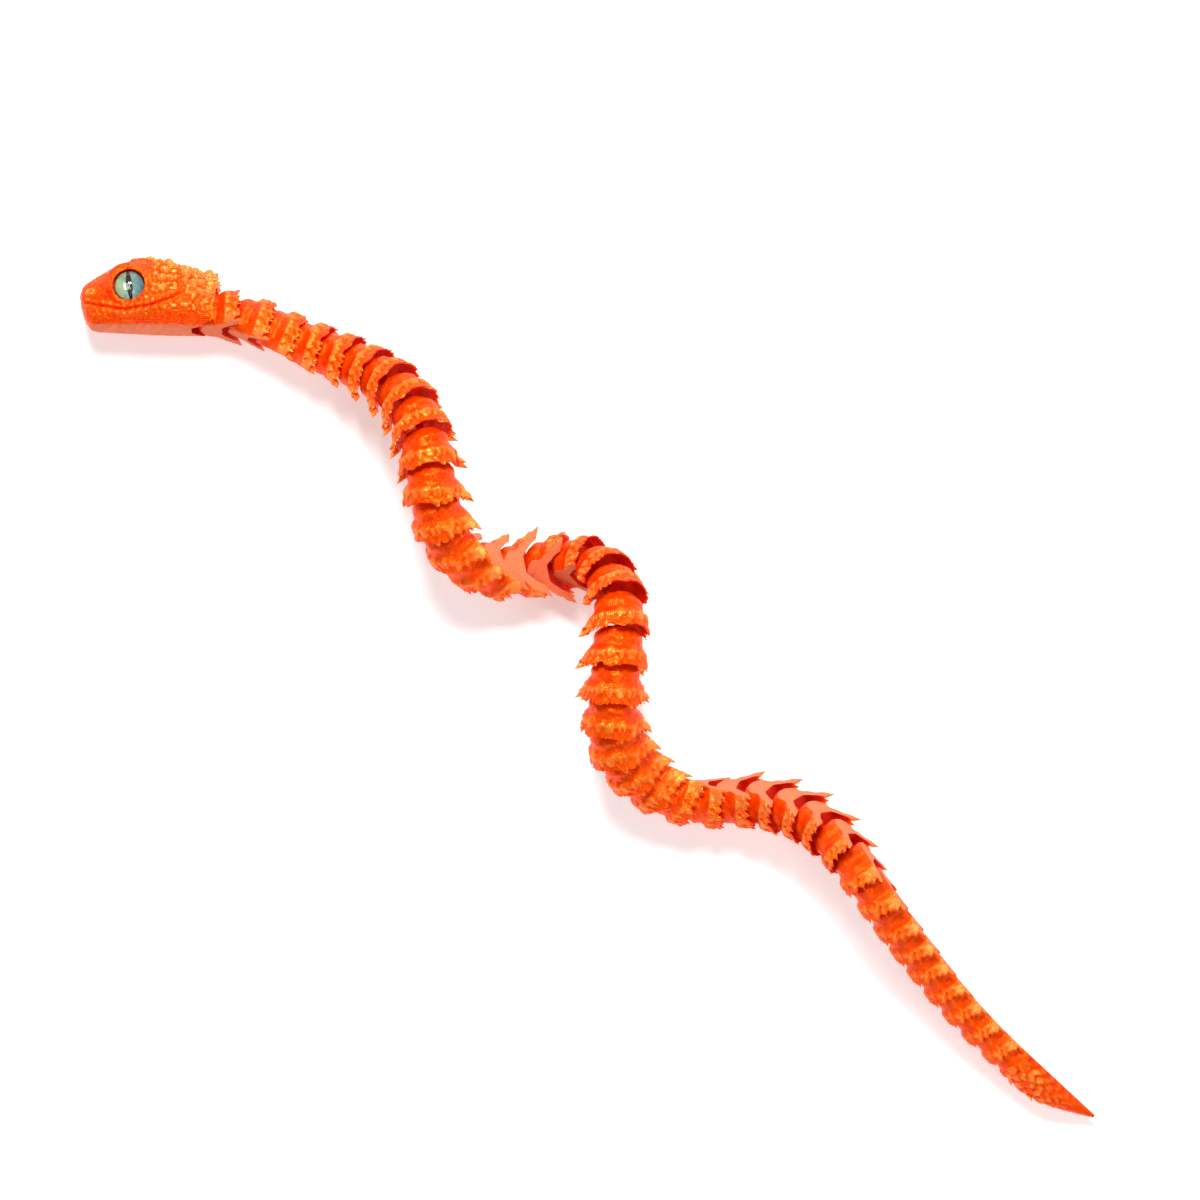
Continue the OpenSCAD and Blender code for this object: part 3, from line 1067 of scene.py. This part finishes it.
def clear_glass():
    """Clear glass of the domed eye, polished, with a faint green tint."""
    material, tree = new_material("clear_glass")
    surface(tree, values={"Base Color": linear("#F6FBF4"), "Roughness": 0.0, "IOR": 1.45,
                          "Transmission Weight": 1.0})
    return material


def painted_iris():
    """Printed paper iris: pale yellow green in front, blue grey behind, mottled, with a dark
    rim and a black slit pupil that leans to the front."""
    material, tree = new_material("printed_iris_paper")
    at = noted(tree, "eye_mm", "Vector")
    split = node(tree, "ShaderNodeSeparateXYZ", links={"Vector": at})
    u, v = split.outputs["X"], split.outputs["Y"]
    mottle = grain(tree, at, 1.5, 4.0, 0.75)
    # from blue grey behind to yellow green in front, with mottled borders
    blend = mapped(tree, sum_of(tree, mottle, u, 14.0), from_min=1.5, from_max=12.5)
    field = ramp(tree, blend, [(0.0, "#3F6478"), (0.3, "#6E94A0"), (0.5, "#8DABA6"),
                               (0.68, "#A6B796"), (0.85, "#C4C890"), (1.0, "#DCDA9C")])
    # the dark ring at the edge of the disc
    far = node(tree, "ShaderNodeVectorMath", {"operation": "LENGTH"}, {0: at}).outputs["Value"]
    rim = mapped(tree, sum_of(tree, mottle, far, 0.5), from_min=3.45, from_max=EYE_R)
    ringed = blended(tree, {"Factor": rim, 6: field}, {7: linear("#1C3B40")})
    # the slit: its half width shrinks with the square of the height, to its ends
    half = reckoned(tree, "DIVIDE", {0: v}, {1: SLIT_HALF})
    square = reckoned(tree, "MULTIPLY", {0: half, 1: half})
    width = mapped(tree, square, to_min=SLIT_WIDE, to_max=0.02)
    off = reckoned(tree, "ABSOLUTE", {0: sum_of(tree, v, u, -SLIT_LEAN)})
    inside = reckoned(tree, "SUBTRACT", {0: off, 1: width})
    edge = mapped(tree, inside, from_min=-0.02, from_max=0.1)
    colour = blended(tree, {"Factor": edge, 7: ringed}, {6: linear("#08080A")})
    surface(tree, {"Base Color": colour}, {"Roughness": 0.5, "Specular IOR Level": 0.3})
    return material


# Each piece, set in place and tied to its body and its part

def made_of(piece, material):
    piece.data.materials.clear()
    piece.data.materials.append(material)


def set_whole(piece, place, body, name, material):
    """Sets a piece that is modelled at its own size."""
    made_of(piece, material)
    set_in_place(piece, place, 1.0)
    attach(piece, body)
    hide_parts(name)


silk = silk_plastic()
places, joint_points = piece_places()

master = body_segment()
made_of(master, silk)
for i in range(1, SEGMENTS + 1):
    name = f"body_segment_{i:02d}"
    piece = copy_of(master, Matrix.Identity(4))
    piece.name = f"printed_segment_{i:02d}"
    piece.data.name = piece.name
    length = (joint_points[i] - joint_points[i - 1]).length / MM
    set_in_place(piece, places[i], girth(i), length - PITCH * girth(i))
    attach(piece, name)
    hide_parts(name)
bpy.data.objects.remove(master)

set_whole(head(), places[0], "head", "head", silk)
set_whole(tail_tip(girth(SEGMENTS + 1)), places[-1], "tail_tip", "tail_tip",
          silk)
glass = clear_glass()
painted = painted_iris()
for side, name in ((-1, "left"), (1, "right")):
    set_whole(iris(side), places[0], "head", f"{name}_eye_iris", painted)
    set_whole(eye_glass(side), places[0], "head", f"{name}_eye_glass", glass)


# Floor, light and camera, in metres and watts

FLOOR_SIZE = 4
SKY_STRENGTH = 0.33
LAMPS = [("softbox", (-0.42, 0.4, 0.85), 0.3, 12.0), ("fill", (0.55, -0.1, 0.8), 0.4, 2.5)]
# the middle of the photograph, the height that it is sharp at, its width and its turn
PHOTO_MIDDLE, PHOTO_HEIGHT = (-0.01531, 0.01015), 0.012
PHOTO_WIDTH, PHOTO_TURN = 0.3096, 40
LENS_MM, SENSOR_MM = 150, 36


def studio():
    """A pale floor, an even sky and two soft lamps."""
    nothing_selected()
    bpy.ops.mesh.primitive_plane_add(size=FLOOR_SIZE, location=(0, 0, 0))
    floor = named("floor")
    # matt pale paper that glows faintly, so that the floor stays near white
    material, tree = new_material("pale_paper")
    surface(tree, values={"Base Color": linear("#FAFAFA"), "Roughness": 0.9,
                          "Specular IOR Level": 0.1, "Emission Color": linear("#FFFFFF"),
                          "Emission Strength": 0.3})
    made_of(floor, material)

    world = bpy.data.worlds.new("studio")
    bpy.context.scene.world = world
    world.use_nodes = True
    sky = world.node_tree.nodes["Background"]
    sky.inputs["Color"].default_value = (1, 1, 1, 1)
    sky.inputs["Strength"].default_value = SKY_STRENGTH
    for name, place, size, power in LAMPS:
        lamp = bpy.data.lights.new(name, "AREA")
        lamp.energy = power
        lamp.size = size
        holder = bpy.data.objects.new(name, lamp)
        bpy.context.scene.collection.objects.link(holder)
        holder.location = place
        holder.rotation_euler = (-Vector(place)).to_track_quat("-Z", "Y").to_euler()


def photo_camera():
    """Straight down on the snake, turned so that it lies as in the photograph."""
    data = bpy.data.cameras.new("photo_view")
    camera = bpy.data.objects.new("photo_view", data)
    bpy.context.scene.collection.objects.link(camera)
    data.sensor_width = SENSOR_MM
    data.lens = LENS_MM
    height = PHOTO_HEIGHT + PHOTO_WIDTH * LENS_MM / SENSOR_MM
    camera.location = (*PHOTO_MIDDLE, height)
    camera.rotation_euler = (0, 0, math.radians(PHOTO_TURN))
    data.clip_end = 10
    bpy.context.scene.camera = camera


studio()
photo_camera()
bpy.context.scene.view_settings.view_transform = "Standard"
